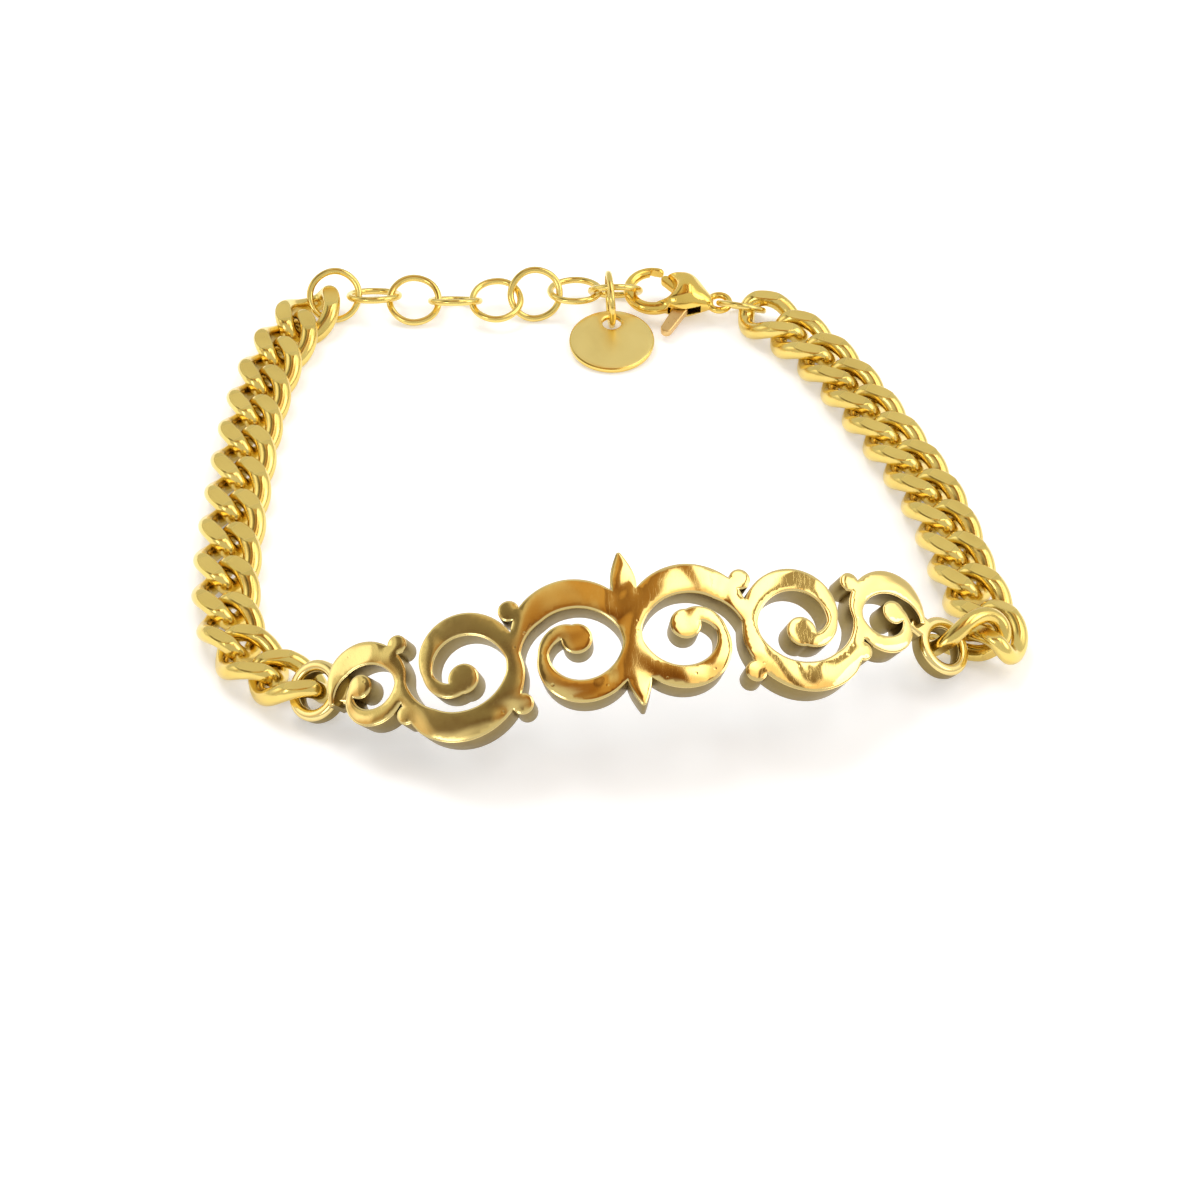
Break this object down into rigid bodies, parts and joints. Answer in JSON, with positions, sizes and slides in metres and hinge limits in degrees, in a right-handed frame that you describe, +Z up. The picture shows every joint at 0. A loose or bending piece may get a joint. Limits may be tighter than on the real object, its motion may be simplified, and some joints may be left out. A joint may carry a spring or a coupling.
{
  "type": "chain bracelet",
  "caption": "Gold curb-chain bracelet with a bent, pierced scroll plate, a lobster clasp and an extender of round rings ending in a small round tag.",
  "frame": {"origin": "the middle of the bracelet's bounding box, on the surface it lies on", "axes": "+X along the scroll plate, from the left chain to the right chain as seen from the plate's side; +Y from the plate towards the clasp; +Z up"},
  "size_m": [0.0636, 0.06, 0.0123],
  "materials": {
    "plate_gold": "polished yellow gold plating with fine scratches, satin on its pierced edges",
    "link_gold": "yellow gold plating, satin on the ground flats and polished on the round wire",
    "ring_gold": "polished yellow gold plating",
    "clasp_gold": "polished yellow gold plating",
    "lever_gold": "satin, slightly warmer gold plating",
    "tag_gold": "satin yellow gold plating with a polished rim"
  },
  "bodies": {
    "bracelet": {"scroll_plate": "plate_gold", "clasp_body": "clasp_gold", "clasp_ring": "ring_gold", "tag_ring": "ring_gold", "tag": "tag_gold", "extender_ring_1": "ring_gold", "extender_ring_2": "ring_gold", "extender_ring_3": "ring_gold", "extender_ring_4": "ring_gold", "extender_ring_5": "ring_gold", "extender_ring_6": "ring_gold", "extender_ring_7": "ring_gold", "extender_ring_8": "ring_gold", "left_link_01": "link_gold", "left_link_02": "link_gold", "left_link_03": "link_gold", "left_link_04": "link_gold", "left_link_05": "link_gold", "left_link_06": "link_gold", "left_link_07": "link_gold", "left_link_08": "link_gold", "left_link_09": "link_gold", "left_link_10": "link_gold", "left_link_11": "link_gold", "left_link_12": "link_gold", "left_link_13": "link_gold", "right_link_01": "link_gold", "right_link_02": "link_gold", "right_link_03": "link_gold", "right_link_04": "link_gold", "right_link_05": "link_gold", "right_link_06": "link_gold", "right_link_07": "link_gold", "right_link_08": "link_gold", "right_link_09": "link_gold", "right_link_10": "link_gold", "right_link_11": "link_gold", "right_link_12": "link_gold", "right_link_13": "link_gold"},
    "lever": {"clasp_lever": "lever_gold"}
  },
  "joints": [
    {"name": "clasp_lever_hinge", "type": "hinge", "parent": "bracelet", "child": "lever", "pos_m": [0.00658, 0.0276, 0.00179], "axis": [0, -0.2079, 0.9781], "range_deg": [0, 22], "stiffness_Nm_per_rad": 0.0001, "springref_deg": -11.46}
  ]
}
